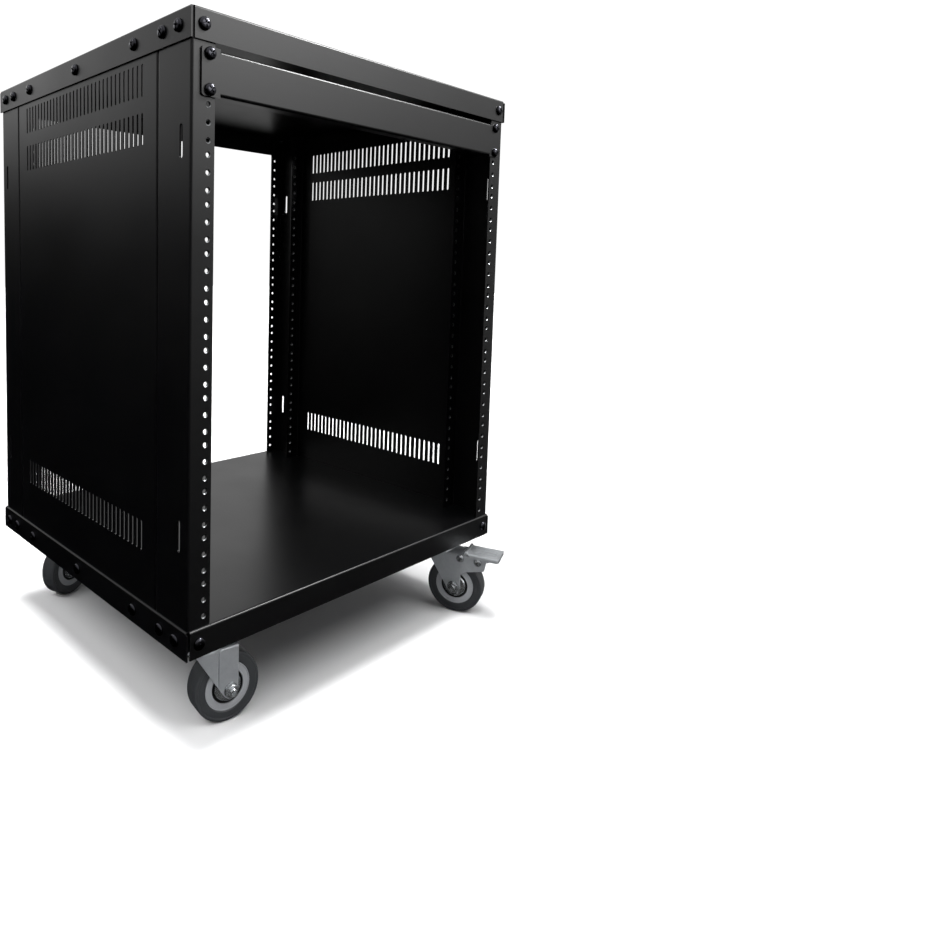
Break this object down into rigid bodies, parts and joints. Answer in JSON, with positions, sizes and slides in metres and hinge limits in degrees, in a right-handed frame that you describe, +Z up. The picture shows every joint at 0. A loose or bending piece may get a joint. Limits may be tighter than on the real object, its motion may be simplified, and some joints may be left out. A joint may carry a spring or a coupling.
{
  "type": "equipment rack case",
  "caption": "Open-fronted steel rack case on swivel casters, with vented side panels, tapped rails front and rear, a blank panel, a lipped top cover and base, and two brake pedals.",
  "frame": {"origin": "on the floor, under the middle of the case, with the wheels at their stored angles", "axes": "+X to the right seen from the front, +Y to the rear, +Z up"},
  "size_m": [0.5124, 0.5366, 0.7014],
  "materials": {
    "black_paint": "semi-gloss powder coat",
    "cover_paint": "semi-gloss powder coat",
    "black_steel": "black oxide, oiled",
    "zinc_plate": "bright zinc plate",
    "bearing_steel": "greased steel",
    "grey_rubber": "matt",
    "wheel_plastic": "moulded, fine grain"
  },
  "bodies": {
    "case": {"top_cover": "cover_paint", "base_tray": "cover_paint", "front_left_post": "black_paint", "front_right_post": "black_paint", "rear_left_post": "black_paint", "rear_right_post": "black_paint", "left_side_panel": "black_paint", "right_side_panel": "black_paint", "front_caster_channel": "black_paint", "rear_caster_channel": "black_paint", "blank_panel": "cover_paint", "panel_screw_left_upper": "black_steel", "panel_screw_left_lower": "black_steel", "panel_screw_right_upper": "black_steel", "panel_screw_right_lower": "black_steel", "front_left_caster_plate": "zinc_plate", "front_left_caster_kingpin": "zinc_plate", "front_right_caster_plate": "zinc_plate", "front_right_caster_kingpin": "zinc_plate", "rear_left_caster_plate": "zinc_plate", "rear_left_caster_kingpin": "zinc_plate", "rear_right_caster_plate": "zinc_plate", "rear_right_caster_kingpin": "zinc_plate"},
    "front_left_swivel": {"front_left_caster_bearing": "bearing_steel", "front_left_caster_fork": "zinc_plate", "front_left_outer_guard": "zinc_plate", "front_left_inner_guard": "zinc_plate", "front_left_axle": "zinc_plate", "front_left_axle_nut": "zinc_plate"},
    "front_left_wheel": {"front_left_tyre": "grey_rubber", "front_left_wheel_centre": "wheel_plastic"},
    "front_right_swivel": {"front_right_caster_bearing": "bearing_steel", "front_right_caster_fork": "zinc_plate", "front_right_brake_pin": "zinc_plate", "front_right_outer_guard": "zinc_plate", "front_right_inner_guard": "zinc_plate", "front_right_axle": "zinc_plate", "front_right_axle_nut": "zinc_plate"},
    "front_right_wheel": {"front_right_tyre": "grey_rubber", "front_right_wheel_centre": "wheel_plastic"},
    "front_right_pedal": {"front_right_brake_pedal": "zinc_plate"},
    "rear_left_swivel": {"rear_left_caster_bearing": "bearing_steel", "rear_left_caster_fork": "zinc_plate", "rear_left_outer_guard": "zinc_plate", "rear_left_inner_guard": "zinc_plate", "rear_left_axle": "zinc_plate", "rear_left_axle_nut": "zinc_plate"},
    "rear_left_wheel": {"rear_left_tyre": "grey_rubber", "rear_left_wheel_centre": "wheel_plastic"},
    "rear_right_swivel": {"rear_right_caster_bearing": "bearing_steel", "rear_right_caster_fork": "zinc_plate", "rear_right_brake_pin": "zinc_plate", "rear_right_outer_guard": "zinc_plate", "rear_right_inner_guard": "zinc_plate", "rear_right_axle": "zinc_plate", "rear_right_axle_nut": "zinc_plate"},
    "rear_right_wheel": {"rear_right_tyre": "grey_rubber", "rear_right_wheel_centre": "wheel_plastic"},
    "rear_right_pedal": {"rear_right_brake_pedal": "zinc_plate"}
  },
  "joints": [
    {"name": "front_left_swivel_turn", "type": "hinge", "parent": "case", "child": "front_left_swivel", "pos_m": [-0.204, -0.181, 0.0935], "axis": [0, 0, 1], "continuous": true},
    {"name": "front_left_wheel_spin", "type": "hinge", "parent": "front_left_swivel", "child": "front_left_wheel", "pos_m": [-0.17839, -0.18552, 0.0375], "axis": [0.1736, 0.9848, 0], "continuous": true},
    {"name": "front_right_swivel_turn", "type": "hinge", "parent": "case", "child": "front_right_swivel", "pos_m": [0.204, -0.181, 0.0935], "axis": [0, 0, 1], "continuous": true},
    {"name": "front_right_wheel_spin", "type": "hinge", "parent": "front_right_swivel", "child": "front_right_wheel", "pos_m": [0.21289, -0.20543, 0.0375], "axis": [0.9397, 0.342, 0], "continuous": true},
    {"name": "front_right_pedal_press", "type": "hinge", "parent": "front_right_swivel", "child": "front_right_pedal", "pos_m": [0.22384, -0.2355, 0.078], "axis": [0.9397, 0.342, 0], "range_deg": [0, 8]},
    {"name": "rear_left_swivel_turn", "type": "hinge", "parent": "case", "child": "rear_left_swivel", "pos_m": [-0.204, 0.181, 0.0935], "axis": [0, 0, 1], "continuous": true},
    {"name": "rear_left_wheel_spin", "type": "hinge", "parent": "rear_left_swivel", "child": "rear_left_wheel", "pos_m": [-0.17957, 0.18989, 0.0375], "axis": [-0.342, 0.9397, 0], "continuous": true},
    {"name": "rear_right_swivel_turn", "type": "hinge", "parent": "case", "child": "rear_right_swivel", "pos_m": [0.204, 0.181, 0.0935], "axis": [0, 0, 1], "continuous": true},
    {"name": "rear_right_wheel_spin", "type": "hinge", "parent": "rear_right_swivel", "child": "rear_right_wheel", "pos_m": [0.21289, 0.20543, 0.0375], "axis": [-0.9397, 0.342, 0], "continuous": true},
    {"name": "rear_right_pedal_press", "type": "hinge", "parent": "rear_right_swivel", "child": "rear_right_pedal", "pos_m": [0.22384, 0.2355, 0.078], "axis": [-0.9397, 0.342, 0], "range_deg": [0, 8]}
  ]
}
